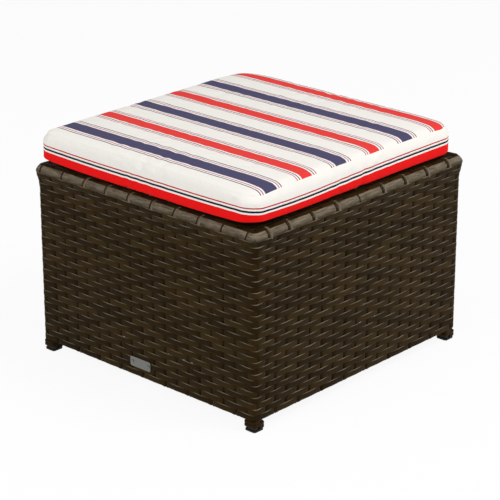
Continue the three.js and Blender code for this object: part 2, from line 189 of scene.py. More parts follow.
def grid_of(bm, columns, rows):
    """A grid of vertices as a table by column and row"""
    made = bmesh.ops.create_grid(bm, x_segments=columns, y_segments=rows, size=0.5)
    table = [[None] * (rows + 1) for _ in range(columns + 1)]
    for v in made["verts"]:
        table[round((v.co.x + 0.5) * columns)][round((v.co.y + 0.5) * rows)] = v
    return table


# Materials


class Nodes:
    """A material's node tree with short ways to add and join nodes"""

    def __init__(self, name):
        self.material = bpy.data.materials.new(name)
        self.material.use_nodes = True
        self.tree = self.material.node_tree
        self.shader = self.tree.nodes["Principled BSDF"]

    def put(self, socket, value):
        """Joins an input to another node's output, or sets its value"""
        if isinstance(value, bpy.types.NodeSocket):
            self.tree.links.new(value, socket)
        else:
            socket.default_value = value

    def add(self, kind, inputs=None, **settings):
        node = self.tree.nodes.new("ShaderNode" + kind)
        for key, value in settings.items():
            setattr(node, key, value)
        for key, value in (inputs or {}).items():
            self.put(node.inputs[key], value)
        return node

    def math(self, operation, a, b=0.0, c=0.0):
        return self.add("Math", {0: a, 1: b, 2: c}, operation=operation).outputs[0]

    def wave(self, value, rate):
        """The sine of a value times a rate"""
        return self.math("SINE", self.math("MULTIPLY", value, rate))

    def attribute(self, name):
        return self.add("Attribute", attribute_name=name).outputs["Vector"]

    def split(self, vector):
        return self.add("SeparateXYZ", {0: vector}).outputs

    def join(self, x, y, z=0.0):
        return self.add("CombineXYZ", {0: x, 1: y, 2: z}).outputs[0]

    def stretched(self, values, scales):
        """A vector of two or three values, each times its own scale"""
        return self.join(*(self.math("MULTIPLY", v, s) for v, s in zip(values, scales)))

    def noise(self, vector, scale, detail=3.0, roughness=0.5):
        inputs = {"Vector": vector, "Scale": scale, "Detail": detail, "Roughness": roughness}
        return self.add("TexNoise", inputs).outputs["Fac"]

    def ramp(self, value, stops, interpolation="LINEAR"):
        """A colour by a value from 0 to 1, from places with their colours"""
        node = self.add("ValToRGB", {0: value})
        node.color_ramp.interpolation = interpolation
        elements = node.color_ramp.elements
        while len(elements) > 1:
            elements.remove(elements[-1])
        first_place, first_colour = stops[0]
        elements[0].position = first_place
        elements[0].color = (*first_colour, 1)
        for place, colour in stops[1:]:
            element = elements.new(place)
            element.color = (*colour, 1)
        return node.outputs["Color"]

    def share_between(self, value, start, end):
        """0 where a value is at its start, 1 where it is at its end"""
        return self.add("MapRange", {"Value": value, "From Min": start, "From Max": end}).outputs[0]

    def scale_range(self, value, low, high):
        """A value from 0 to 1 moved to another range"""
        return self.add("MapRange", {"Value": value, "To Min": low, "To Max": high}).outputs[0]

    def mix(self, factor, a, b, blend="MIX"):
        """Two colours mixed, in the Mix node's colour inputs 6 and 7 and its output 2"""
        return self.add("Mix", {0: factor, 6: a, 7: b}, data_type="RGBA", blend_type=blend).outputs[2]

    def bump(self, height, distance, strength=1.0):
        inputs = {"Height": height, "Distance": distance, "Strength": strength}
        return self.add("Bump", inputs).outputs[0]

    def finish(self, **sockets):
        """The material, with its shader's inputs named by words joined with underscores"""
        for key, value in sockets.items():
            self.put(self.shader.inputs[key.replace("_", " ")], value)
        return self.material


def rgb(red, green, blue):
    """Linear colour of an sRGB one in 0 to 255"""
    return tuple(
        c / 12.92 if c <= 0.04045 else ((c + 0.055) / 1.055) ** 2.4
        for c in (red / 255, green / 255, blue / 255)
    )


# Resin strips. The scales run along a strip, across it and from strip to strip, and a place across it
# runs from -1 at its lower edge to 1 at its upper edge
RESIN_DARK = rgb(25, 16, 6)
RESIN_MIDDLE = rgb(40, 29, 12)
RESIN_LIGHT = rgb(58, 44, 21)
# Painted highlight: the next colour is laid on the upper edge of each proud strip and on the rim's strands,
# where light catches them
RESIN_HIGHLIGHT = rgb(122, 112, 96)
RESIN_GLINT = (1, 0.72, 0.42, 1)
STREAK_SCALES = (30, 7, 40)
# Scales of the noise that breaks up the painted highlight
HIGHLIGHT_NOISE_SCALES = (60, 3, 40)
PATCH_SCALE = 14
PATCH_TONE_SCALE = 9
STREAK_SHARE = 0.45
TONE_SHARE = 0.27
PATCH_SHARE = 0.2
LEAST_SHADE = 0.09
# Where across a strip the painted highlight on its upper edge begins and where it is full
EDGE_HIGHLIGHT = (0.72, 0.86)
# Across the rim's strands the painted highlight fades in from one edge, the lower one on the band, to the
# middle
RIM_HIGHLIGHT_FADING = (-1.1, 0.1)
# Contrast and level of the noise in the painted highlight
HIGHLIGHT_NOISE_CONTRAST = 2.2
HIGHLIGHT_NOISE_LEVEL = -0.36
GROOVE_RATE = 22
STRIP_BUMP = 0.12 * MM


def wicker_material():
    """Drawn resin with streaks, a tone for each strip, and a streaky painted highlight on proud edges and
    the rim
    """
    n = Nodes("woven_resin")
    along, across, tone = n.split(n.attribute("strand"))
    # The second value is the share of painted highlight that the rim's strands take
    proud, wear_and_highlight, _ = n.split(n.attribute("arch"))
    streak = n.noise(n.stretched((along, across, tone), STREAK_SCALES), 1.0, 4.0, 0.6)
    patch = n.noise(n.join(along, n.math("MULTIPLY", tone, PATCH_TONE_SCALE)), PATCH_SCALE, 2.0)
    dull = n.math("MULTIPLY_ADD", patch, PATCH_SHARE, LEAST_SHADE)
    toned = n.math("MULTIPLY_ADD", tone, TONE_SHARE, dull)
    shade = n.math("MULTIPLY_ADD", streak, STREAK_SHARE, toned)
    body = n.ramp(shade, [(0.2, RESIN_DARK), (0.5, RESIN_MIDDLE), (0.8, RESIN_LIGHT)])
    # Painted highlight: a lighter colour on the upper edge where the strip is proud and over the rim's
    # strands, broken up by noise
    upper = n.share_between(across, *EDGE_HIGHLIGHT)
    fading = n.share_between(across, *RIM_HIGHLIGHT_FADING)
    highlight_share = n.math("MAXIMUM", n.math("MULTIPLY", upper, proud), n.math("MULTIPLY", wear_and_highlight, fading))
    highlight_noise = n.noise(n.stretched((along, across, tone), HIGHLIGHT_NOISE_SCALES), 1.0, 4.0, 0.6)
    broken_highlight = n.math("MULTIPLY_ADD", highlight_noise, HIGHLIGHT_NOISE_CONTRAST, HIGHLIGHT_NOISE_LEVEL)
    painted_highlight = n.math("MULTIPLY", highlight_share, broken_highlight)
    relief = n.math("MULTIPLY_ADD", n.wave(across, GROOVE_RATE), 0.5, streak)
    return n.finish(
        Base_Color=n.mix(painted_highlight, body, (*RESIN_HIGHLIGHT, 1)),
        Roughness=n.scale_range(streak, 0.3, 0.42),
        Specular_IOR_Level=0.03,
        Specular_Tint=RESIN_GLINT,
        Normal=n.bump(relief, STRIP_BUMP, 0.6),
    )


# Paint, plastic and brushed metal, with scales per metre
PEEL_SCALE = 900
WEAR_SCALE = 60
WEAR_SHADE = 0.75
PEEL_BUMP = 0.1 * MM
BRUSH_ALONG = 120
BRUSH_ACROSS = 9000
BRUSH_SHINE = 1.25
BRUSH_BUMP = 0.04 * MM


def painted_material(name, colour, roughness):
    """Paint or moulded plastic with a fine peel, duller and darker in patches"""
    n = Nodes(name)
    place = n.add("TexCoord").outputs["Object"]
    peel = n.noise(place, PEEL_SCALE, 2.0)
    wear_and_highlight = n.noise(place, WEAR_SCALE, 4.0)
    dark = tuple(WEAR_SHADE * c for c in colour)
    return n.finish(
        Base_Color=n.ramp(wear_and_highlight, [(0.35, dark), (0.65, colour)]),
        Roughness=n.scale_range(wear_and_highlight, roughness - 0.07, roughness + 0.07),
        Specular_IOR_Level=0.2,
        Normal=n.bump(peel, PEEL_BUMP, 0.4),
    )


def metal_material(name, colour, brush_axis):
    """Metal brushed along one axis"""
    n = Nodes(name)
    place = n.split(n.add("TexCoord").outputs["Object"])
    scales = [BRUSH_ALONG if axis == brush_axis else BRUSH_ACROSS for axis in range(3)]
    lines = n.noise(n.stretched(place, scales), 1.0, 2.0)
    bright = tuple(min(1.0, BRUSH_SHINE * c) for c in colour)
    return n.finish(
        Base_Color=n.ramp(lines, [(0.3, colour), (0.7, bright)]),
        Metallic=1.0,
        Roughness=n.scale_range(lines, 0.28, 0.45),
        Normal=n.bump(lines, BRUSH_BUMP, 0.5),
    )


# The zip's coil along the middle of its tape
ZIP_MIDDLE = 365.8 * MM
ZIP_COIL = 1.9 * MM
ZIP_COIL_EDGE = 0.3 * MM
ZIP_TURN = 1.5 * MM
ZIP_THREAD = 0.7 * MM
ZIP_BUMP = 0.3 * MM
# Painted shade: the dark grey between the coil's turns stands for the shade in the grooves between them
COIL_GAP_SHADE = rgb(120, 119, 116)
COIL_TURN = rgb(214, 212, 206)
TAPE_DARK = rgb(205, 202, 194)
TAPE_LIGHT = rgb(226, 223, 215)


def zip_material():
    """The zip's tape with its coil along the middle"""
    n = Nodes("zip_tape")
    x, _, z = n.split(n.add("TexCoord").outputs["Object"])
    away = n.math("ABSOLUTE", n.math("SUBTRACT", z, ZIP_MIDDLE))
    coil = n.share_between(away, ZIP_COIL, ZIP_COIL - ZIP_COIL_EDGE)
    turns = n.wave(x, 2 * math.pi / ZIP_TURN)
    threads = n.wave(x, 2 * math.pi / ZIP_THREAD)
    groove = n.wave(away, math.pi / ZIP_COIL)
    ridge = n.math("MULTIPLY", coil, n.math("ADD", turns, n.math("MULTIPLY", groove, 2)))
    # The coil's colour: painted shade in the gaps between the turns, and light grey on the turns
    light = n.ramp(n.math("MULTIPLY_ADD", turns, 0.5, 0.5), [(0.1, COIL_GAP_SHADE), (0.5, COIL_TURN)])
    cloth = n.ramp(n.math("MULTIPLY_ADD", threads, 0.5, 0.5), [(0.0, TAPE_DARK), (1.0, TAPE_LIGHT)])
    return n.finish(
        Base_Color=n.mix(coil, cloth, light),
        Roughness=n.scale_range(coil, 0.85, 0.4),
        Normal=n.bump(n.math("MULTIPLY_ADD", threads, 0.2, ridge), ZIP_BUMP, 0.8),
    )


# Colours of the cushion's cloth
WHITE = rgb(246, 242, 236)
NAVY = rgb(76, 72, 105)
RED = rgb(235, 60, 56)
DARK_LINE = rgb(44, 44, 58)
PINK_LINE = rgb(196, 82, 112)
BOXING_RED = rgb(242, 12, 12)
BOXING_NAVY = rgb(28, 32, 48)
BOXING_THIN_RED = rgb(196, 40, 44)

# Threads, slubs and soft unevenness of the cloth, with scales per metre
THREAD_RATE = 7000
SLUB_SCALES = (260, 1500)
SLUB_SHADE = (0.9, 0.9, 0.9)
SOFT_SCALE = 22
CLOTH_BUMP = 0.25 * MM

# Stripes of the top panel, across the cushion: centres, widths and side lines
STRIPE_PITCH = 82.7 * MM
FIRST_NAVY = -203.5 * MM
NAVY_WIDTH = 26 * MM
RED_WIDTH = 23.5 * MM
INNER_LINE_AWAY = 5 * MM
OUTER_LINE_AWAY = 10 * MM
LINE_WIDTH = 2.0 * MM

# Bands of the boxing, as heights from the floor
BOXING_LOW = 330 * MM
BOXING_RED_TOP = 357.5 * MM
BOXING_NAVY_BAND = (360.4 * MM, 363.7 * MM)
BOXING_THIN_BAND = (366.8 * MM, 369.0 * MM)
BOXING_HIGH = 400 * MM


def stripe_stops():
    """Stops of the striped cloth over one repeat, a navy band and then a red one"""
    repeat = 2 * STRIPE_PITCH
    bands = []
    for centre, width, colour, inner, outer in (
        (STRIPE_PITCH / 2, NAVY_WIDTH, NAVY, PINK_LINE, DARK_LINE),
        (STRIPE_PITCH * 1.5, RED_WIDTH, RED, DARK_LINE, PINK_LINE),
    ):
        bands.append((centre, width, colour))
        for away, line in ((INNER_LINE_AWAY, inner), (OUTER_LINE_AWAY, outer)):
            for side in (-1, 1):
                bands.append((centre + side * (width / 2 + away), LINE_WIDTH, line))
    stops = [(0.0, WHITE)]
    for centre, width, colour in sorted(bands, key=lambda band: band[0]):
        stops.append(((centre - width / 2) / repeat, colour))
        stops.append(((centre + width / 2) / repeat, WHITE))
    return stops


def cloth_finish(n, colour, first, second):
    """Woven cloth: threads along two directions, slubs and a soft sheen"""
    threads = n.math("MULTIPLY", n.wave(first, THREAD_RATE), n.wave(second, THREAD_RATE))
    slub = n.noise(n.stretched((first, second), SLUB_SCALES), 1.0, 3.0)
    soft = n.noise(n.join(first, second), SOFT_SCALE, 3.0)
    height = n.math("MULTIPLY_ADD", threads, 0.5, n.math("ADD", slub, soft))
    shades = n.ramp(slub, [(0.25, SLUB_SHADE), (0.75, (1.0, 1.0, 1.0))])
    return n.finish(
        Base_Color=n.mix(1.0, colour, shades, "MULTIPLY"),
        Roughness=0.9,
        Specular_IOR_Level=0.1,
        Sheen_Weight=0.04,
        Sheen_Roughness=0.5,
        Normal=n.bump(height, CLOTH_BUMP, 0.5),
    )


def striped_cloth():
    """Cloth of the two panels, with stripes from side to side that repeat from front to back"""
    n = Nodes("striped_cloth")
    x, y, _ = n.split(n.attribute("cloth"))
    repeat = 2 * STRIPE_PITCH
    start = n.math("SUBTRACT", y, FIRST_NAVY - STRIPE_PITCH / 2)
    above_zero = n.math("ADD", start, 2 * repeat)
    share = n.math("FRACT", n.math("DIVIDE", above_zero, repeat))
    colour = n.ramp(share, stripe_stops(), "CONSTANT")
    return cloth_finish(n, colour, x, y)


def boxing_cloth():
    """Cloth of the boxing: red below and white above, with a navy and a thin red band in the white"""
    n = Nodes("boxing_cloth")
    x, y, z = n.split(n.attribute("cloth"))
    bands = (
        (BOXING_LOW, BOXING_RED), (BOXING_RED_TOP, WHITE),
        (BOXING_NAVY_BAND[0], BOXING_NAVY), (BOXING_NAVY_BAND[1], WHITE),
        (BOXING_THIN_BAND[0], BOXING_THIN_RED), (BOXING_THIN_BAND[1], WHITE),
    )
    span = BOXING_HIGH - BOXING_LOW
    stops = [((height - BOXING_LOW) / span, colour) for height, colour in bands]
    colour = n.ramp(n.share_between(z, BOXING_LOW, BOXING_HIGH), stops, "CONSTANT")
    return cloth_finish(n, colour, n.math("ADD", x, y), z)


wicker = wicker_material()
frame_paint = painted_material("frame_paint", rgb(40, 33, 22), 0.5)
glide_plastic = painted_material("glide_plastic", rgb(24, 20, 15), 0.5)
plate_metal = metal_material("plate_metal", rgb(112, 113, 109), 0)
zip_metal = metal_material("zip_metal", rgb(176, 174, 168), 2)
zip_tape = zip_material()
stripes = striped_cloth()
boxing = boxing_cloth()


# Woven skin


class Skin:
    """The skin's section: distance out from the wall's plane and height, by length from the hem"""

    def __init__(self):
        centre_up = RIM_HEIGHT - ROLL_RADIUS
        centre_out = RIM_FLARE - ROLL_RADIUS
        points = [(0, HEM_HEIGHT)]
        for i in range(FLARE_STEPS):
            share = i / FLARE_STEPS
            out = RIM_FLARE * (1 - math.cos(math.pi * share)) / 2
            points.append((out, centre_up - (1 - share) * FLARE_LENGTH))
        for i in range(ROLL_STEPS + 1):
            angle = ROLL_END * i / ROLL_STEPS
            out = centre_out + ROLL_RADIUS * math.cos(angle)
            points.append((out, centre_up + ROLL_RADIUS * math.sin(angle)))
        self.points = np.array(points)
        steps = np.diff(self.points, axis=0)
        lengths = np.hypot(steps[:, 0], steps[:, 1])
        self.places = np.concatenate([[0], np.cumsum(lengths)])
        normals = np.stack([steps[:, 1], -steps[:, 0]], 1) / lengths[:, None]
        joined = np.concatenate([normals[:1], (normals[:-1] + normals[1:]) / 2, normals[-1:]])
        self.normals = joined / np.hypot(joined[:, 0], joined[:, 1])[:, None]
        self.flare_start = self.places[1]
        self.roll_start = self.places[1 + FLARE_STEPS]
        self.end = self.places[-1]

    def at(self, place, level):
        """Distances out and heights, at lengths along the skin and levels off its surface"""
        curves = (*self.points.T, *self.normals.T)
        out, up, across, along = [np.interp(place, self.places, curve) for curve in curves]
        return out + across * level, up + along * level + np.minimum(place, 0)


skin = Skin()
BAND_START = skin.roll_start - RIM_BAND_BELOW


def row_edge(row):
    """Length along the skin at the lower edge of a row: the rows get closer towards the rim"""
    share = row / ROW_COUNT
    return BAND_START * share * (1 + ROW_CROWDING * (1 - share))


# The four faces in the order that a strip passes them: half length, distance out, way along, way out
FACES = (
    (HALF_WIDTH, HALF_DEPTH, (1, 0), (0, -1)),
    (HALF_DEPTH, HALF_WIDTH, (0, 1), (1, 0)),
    (HALF_WIDTH, HALF_DEPTH, (-1, 0), (0, 1)),
    (HALF_DEPTH, HALF_WIDTH, (0, -1), (-1, 0)),
)


def stake_places(half, insets, even_gaps, close_gaps=()):
    """Places of the stakes along one face: some close together at its start, the rest evenly spaced"""
    start_inset, end_inset = insets
    places = [start_inset - half]
    for gap in close_gaps:
        places.append(places[-1] + gap)
    even = (half - end_inset - places[-1]) / even_gaps
    return places + [places[-1] + even * (i + 1) for i in range(even_gaps)]


FRONT_STAKES = stake_places(HALF_WIDTH, FRONT_STAKE_INSETS, FRONT_STAKE_GAPS)
RIGHT_STAKES = stake_places(HALF_DEPTH, RIGHT_STAKE_INSETS, RIGHT_STAKE_GAPS, RIGHT_CLOSE_GAPS)
STAKES = (FRONT_STAKES, RIGHT_STAKES, FRONT_STAKES, RIGHT_STAKES)
STAKE_COUNT = sum(len(face) for face in STAKES)


def gap_rings(width, dives_here, shares=GAP_SHARES):
    """Places along a gap between two stakes, each with its distance from the one the strip dives under"""
    if dives_here:
        return [(a * width, a * width) for a in shares]
    return [(0, width)] + [((1 - a) * width, a * width) for a in reversed(shares[1:])]


def level_of(under, gap, dive):
    """How far a strip's middle is off the surface, by the distance from the stake it dives under"""
    crown = CROWN_DROP * (1 - np.cos(math.pi * (gap - under) / gap)) / 2
    return OVER_LEVEL - crown - dive * np.exp(-((under / DIVE_WIDTH) ** 2))


class Columns:
    """Where one row's rings of points are: the row dives under each second stake"""

    def __init__(self, parity, depth=DIVE_DEPTH):
        rings = []
        number = 0
        for f, places in enumerate(STAKES):
            following = (f + 1) % len(STAKES)
            past_corner = FACES[f][0] + FACES[following][0] + STAKES[following][0]
            for k, (start, end) in enumerate(zip(places, [*places[1:], past_corner])):
                corner = k == len(places) - 1
                width = end - start
                dives_here = (number + parity) % 2 == 0
                by_corner = corner or k == (0 if dives_here else len(places) - 2)
                dive = CORNER_DIVE_DEPTH if by_corner else depth
                top = number + 1 if dives_here else number
                for away, under in gap_rings(width, dives_here, CORNER_SHARES if corner else GAP_SHARES):
                    rings.append((f, start + away, under, width, dive, top))
                number += 1
        self.face, self.place, self.under, self.gap, self.dive, top = np.array(rings).T
        self.stake = top.astype(int) % STAKE_COUNT
        self.along = np.cumsum(np.concatenate([[0], np.maximum(np.diff(self.place), LEAST_STEP)]))
        self.count = len(rings)

    def level(self):
        """How far the strip's middle is off the surface"""
        return level_of(self.under, self.gap, self.dive)

    def arch(self):
        """How proud the strip is, from nothing where it dives to 1 over a stake"""
        return (1 - np.cos(math.pi * np.clip(self.under / self.gap, 0, 1))) / 2

    def spread(self):
        """How much wider the strip is pressed where it lies hidden behind a stake"""
        return DIVE_SPREAD * np.exp(-((self.under / DIVE_SPREAD_REACH) ** 2))


COLUMNS = (Columns(0), Columns(1))
RIM_COLUMNS = (Columns(0, RIM_DIVE_DEPTH), Columns(1, RIM_DIVE_DEPTH))


def around(face, place, out):
    """Points round the box, by face, place along it and distance out from its plane, with round corners"""
    radius = np.maximum(CORNER_RADIUS + out, LEAST_RADIUS)
    short = radius - CORNER_RADIUS - out
    x, y = np.zeros_like(out), np.zeros_like(out)
    for f, (half, away, along, outward) in enumerate(FACES):
        mine = face == f
        r, lost = radius[mine], short[mine]
        s = np.broadcast_to(place, out.shape)[mine]
        to_corner = half - np.abs(s)
        turn = np.clip((1 - to_corner / CORNER_RADIUS) / 2, 0, 1) * math.pi / 2
        near = np.clip(1 - (to_corner - CORNER_RADIUS) / CORNER_BLEND, 0, 1)
        run = np.minimum(np.abs(s), half - CORNER_RADIUS) - lost * near + r * np.sin(turn)
        across = away + out[mine] - r + r * np.cos(turn)
        run = np.copysign(run, s)
        x[mine] = along[0] * run + outward[0] * across
        y[mine] = along[1] * run + outward[1] * across
    return x, y


def wander(count, reach):
    """A smooth closed random walk over a row's rings of points"""
    knots = rng.normal(0, WANDER_SIZE, max(LEAST_TURNS, count // reach))
    knots = np.append(knots, knots[0])
    return np.interp(np.linspace(0, len(knots) - 1, count), np.arange(len(knots)), knots)


def points_of(x, y, z):
    """One array of points, from their x, y and z"""
    return np.stack(np.broadcast_arrays(x, y, z), -1)


class Strands:
    """A piece of woven strands while it is made. Its points know how far along and across their strand
    they are, the strand's tone, how proud it is there, and how much painted highlight it takes"""

    def __init__(self):
        self.bm = bmesh.new()
        vectors = self.bm.verts.layers.float_vector
        for name in ("strand", "arch"):
            vectors.new(name)
        self.strand = vectors["strand"]
        self.arch = vectors["arch"]

    def join_rings(self, points, along, across, tones, proud, wear_and_highlight):
        """Rings of points joined to one surface, closed where its first and last points meet"""
        table = grid_of(self.bm, points.shape[0] - 1, points.shape[1] - 1)
        for i, line in enumerate(table):
            for j, v in enumerate(line):
                v.co = points[i, j]
                v[self.strand] = (along[i], across[j], tones[i])
                v[self.arch] = (proud[i], wear_and_highlight, 0)
        verts = [v for line in table for v in line]
        bmesh.ops.remove_doubles(self.bm, verts=verts, dist=STRAND_MERGE)
        return table

    # The last argument is the share of painted highlight that the row takes
    def row(self, columns, start, end, wear_and_highlight=0.0):
        """One closed row of the weave, round all four faces"""
        shift = wander(columns.count, SHIFT_RINGS)
        height = wander(columns.count, HEIGHT_RINGS)
        width = end - start + STRIP_OVERLAP + columns.spread()
        place = ((start + end) / 2 + shift)[:, None] + ACROSS * width[:, None]
        level = (columns.level() + height)[:, None] + THROUGH * STRIP_THICKNESS
        out, up = skin.at(place, level)
        x, y = around(columns.face, columns.place[:, None], out)
        tones = rng.random(STAKE_COUNT)[columns.stake]
        ring = np.append(np.arange(columns.count), 0)
        points = points_of(x, y, up)[ring]
        proud = columns.arch()[ring]
        self.join_rings(points, columns.along[ring], ACROSS * 2, tones[ring], proud, wear_and_highlight)

    # The last argument is the share of painted highlight that the strand takes
    def tube(self, points, along, across, wear_and_highlight=0.0):
        """A strand with a tone of its own and two closed ends, from its rings of points"""
        count, sides = points.shape[:2]
        tones = np.full(count, rng.random())
        table = self.join_rings(points, along, across, tones, np.zeros(count), wear_and_highlight)
        tips = [v for line in (table[0], table[-1]) for v in line if v.is_valid]
        edges = {e for v in tips for e in v.link_edges if e.is_boundary}
        bmesh.ops.holes_fill(self.bm, edges=list(edges), sides=sides)

    def bar(self, start, end, half_width, half_height):
        """A straight level strand with an oval section, from one point to another along x or y"""
        direction = np.subtract(end, start) / np.linalg.norm(np.subtract(end, start))
        sideways = direction[[1, 0, 2]]
        ring = half_width * np.cos(TUBE_ANGLES)[:, None] * sideways
        ring[:, 2] += half_height * np.sin(TUBE_ANGLES)
        along = (start @ direction, end @ direction)
        self.tube(np.stack((start + ring, end + ring)), along, np.cos(TUBE_ANGLES))

    def finish(self, name):
        """The finished piece, riding on the box"""
        bmesh.ops.recalc_face_normals(self.bm, faces=self.bm.faces)
        return make_object(name, self.bm, "box", [wicker])


def wall_rows():
    """The rows of the walls, in groups that together stand for the four walls"""
    for group in range(ROW_GROUPS):
        strands = Strands()
        for row in range(group * ROW_COUNT // ROW_GROUPS, (group + 1) * ROW_COUNT // ROW_GROUPS):
            strands.row(COLUMNS[(row + 1) % 2], row_edge(row), row_edge(row + 1))
        piece = strands.finish(f"wall_strips_{group + 1}")
        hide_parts(*(f"woven_wall_{side}" for side in ("front", "right", "back", "left")))


def rim_pads(strands):
    """Strands that come up beside some of the band's joints and turn over the rim"""
    lengths = np.linspace(skin.roll_start - PAD_BELOW, skin.end, PAD_RINGS)
    out, up = skin.at(lengths[:, None], PAD_LEVEL + THROUGH * PAD_THICKNESS)
    number = 0
    for f, places in enumerate(STAKES):
        for k, s in enumerate(places[:-1]):
            if (number + k) % 2 == 0 and k > 0 and rng.random() < PAD_SHARE:
                x, y = around(np.full(PAD_RINGS, f), s + PAD_SHIFT + ACROSS * PAD_WIDTH, out)
                # The pads take the painted highlight
                strands.tube(points_of(x, y, up), lengths, ACROSS * 2, RIM_HIGHLIGHT)
        number += len(places)


def rim_rows():
    """The wide band over the rim's shoulder, and the row inside it that meets the deck"""
    strands = Strands()
    band_end = BAND_START + RIM_BAND_WIDTH
    # The band takes the painted highlight over its upper part
    strands.row(RIM_COLUMNS[0], BAND_START - RIM_BAND_LAP, band_end - STRIP_OVERLAP, RIM_HIGHLIGHT)
    strands.row(RIM_COLUMNS[1], band_end, skin.end - STRIP_OVERLAP)
    rim_pads(strands)
    strands.finish("rim_strips")


def stakes():
    """The upright stakes that the strips are woven over, from the hem to the inside of the rim"""
    strands = Strands()
    wall = np.linspace(0, skin.flare_start, STAKE_WALL_RINGS)
    rim = np.linspace(skin.flare_start, skin.end, STAKE_RIM_RINGS)
    lengths = np.concatenate([wall, rim[1:]])
    flare_share = (lengths - skin.flare_start) / (skin.roll_start - skin.flare_start)
    over_rim = np.clip(flare_share, 0, 1)[:, None]
    for f, places in enumerate(STAKES):
        for k, s in enumerate(places):
            by_corner = k in (0, len(places) - 1)
            level = CORNER_STAKE_LEVEL if by_corner else STAKE_LEVEL
            flat = CORNER_STAKE_FLATNESS if by_corner else 1
            level = level + (CORNER_STAKE_LEVEL - level) * over_rim
            flat = flat + (CORNER_STAKE_FLATNESS - flat) * over_rim
            out, up = skin.at(lengths[:, None], level + STAKE_RADIUS * flat * np.sin(TUBE_ANGLES))
            x, y = around(np.full(len(lengths), f), s + STAKE_RADIUS * np.cos(TUBE_ANGLES), out)
            strands.tube(points_of(x, y, up), lengths, np.cos(TUBE_ANGLES))
    strands.finish("wall_stakes")


def deck_rows(strands, low, high, surface, stakes_x):
    """The deck's strips from side to side, each diving under every second stake"""
    gap = stakes_x[1] - stakes_x[0]
    rows = round((high.y - low.y) / (BAND_START / ROW_COUNT))
    pitch = (high.y - low.y) / rows
    for row in range(rows):
        rings = [(low.x, gap / 2)]
        for k, s in enumerate(stakes_x[:-1]):
            rings += [(s + away, under) for away, under in gap_rings(gap, (k + row) % 2 == 0)]
        rings.append((stakes_x[-1], 0 if (len(stakes_x) - 1 + row) % 2 == 0 else gap))
        rings.append((high.x, gap / 2))
        x, under = np.array(rings).T
        level = level_of(under, gap, DECK_DIVE)[:, None] + THROUGH * STRIP_THICKNESS
        width = pitch + STRIP_OVERLAP + DIVE_SPREAD * np.exp(-((under / DECK_SPREAD_REACH) ** 2))
        y = low.y + (row + 0.5) * pitch + ACROSS * width[:, None]
        y = np.clip(y, low.y, high.y)
        strands.tube(points_of(x[:, None], y, surface + level), x, ACROSS * 2)


def deck_weave():
    """The woven deck under the cushion: strips over stakes from front to back, and a strip by each edge"""
    strands = Strands()
    low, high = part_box("woven_deck")
    surface = high.z - DECK_SINK
    stakes_x = np.linspace(low.x + DECK_END, high.x - DECK_END, DECK_STAKES)
    deck_rows(strands, low, high, surface, stakes_x)
    z = surface + DECK_STAKE_LEVEL
    for x in stakes_x:
        ends = np.array(((x, low.y, z), (x, high.y, z)))
        strands.bar(*ends, DECK_STAKE_HALF_WIDTH, DECK_STAKE_HALF_HEIGHT)
    z = surface + DECK_EDGE_LEVEL
    for side in (low, high):
        for ends in (((low.x, side.y, z), (high.x, side.y, z)), ((side.x, low.y, z), (side.x, high.y, z))):
            strands.bar(*np.array(ends), DECK_EDGE_HALF_WIDTH, DECK_EDGE_HALF_HEIGHT)
    piece = strands.finish("deck_strips")
    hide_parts("woven_deck")


def foot_wraps():
    """Strip wound round each foot, between the glide and the hem"""
    sweep = np.linspace(0, FOOT_TURNS * 2 * math.pi, FOOT_TURNS * FOOT_TURN_RINGS + 1)[:, None]
    square = np.abs(np.cos(sweep)) ** FOOT_SQUARENESS + np.abs(np.sin(sweep)) ** FOOT_SQUARENESS
    for corner in ("front_left", "front_right", "back_right", "back_left"):
        low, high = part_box(f"foot_wrap_{corner}")
        middle = (low + high) / 2
        half = (high.x - low.x) / 2
        rise = (high.z - low.z) / (FOOT_TURNS + 1)
        outside = half - STRIP_THICKNESS / 2 + THROUGH * STRIP_THICKNESS
        reach = outside / square ** (1 / FOOT_SQUARENESS)
        x = middle.x + reach * np.cos(sweep)
        y = middle.y + reach * np.sin(sweep)
        z = low.z + rise * (0.5 + sweep / (2 * math.pi)) + ACROSS * rise * FOOT_STRIP_SHARE
        strands = Strands()
        strands.tube(points_of(x, y, z), sweep[:, 0] * half, ACROSS * 2)
        piece = strands.finish(f"foot_strip_{corner}")
        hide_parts(f"foot_wrap_{corner}")


wall_rows()
rim_rows()
stakes()
deck_weave()
foot_wraps()


# Cushion

CUSHION_MIDDLE = Vector((-3.5 * MM, -3.5 * MM, 0))
cushion_low, cushion_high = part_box("cover_boxing")
CUSHION_HALF_WIDTH = (cushion_high.x - cushion_low.x) / 2
CUSHION_HALF_DEPTH = (cushion_high.y - cushion_low.y) / 2
CUSHION_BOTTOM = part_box("cover_bottom_panel")[0].z
CUSHION_CROWN = 4 * MM
CROWN_REACH = 70 * MM
CROWN_POWER = 2.2
CUSHION_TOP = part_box("cover_top_panel")[1].z - CUSHION_CROWN
DRAW_IN = 2 * MM
DRAW_IN_POWER = 6

# Rolled edges of the two panels, and the boxing's rings over the top roll, down the side and under
TOP_ROLL = 20 * MM
TOP_SEAM_ANGLE = math.radians(44)
TOP_SEAM_INSET = TOP_ROLL * (1 - math.cos(TOP_SEAM_ANGLE))
BOTTOM_REACH = 22 * MM
BOTTOM_RISE = 7 * MM
BOTTOM_SEAM_ANGLE = math.radians(50)
BOTTOM_SEAM_INSET = BOTTOM_REACH * (1 - math.cos(BOTTOM_SEAM_ANGLE))
ROLL_LEVELS = 6
SIDE_LEVELS = 6
UNDER_LEVELS = 3

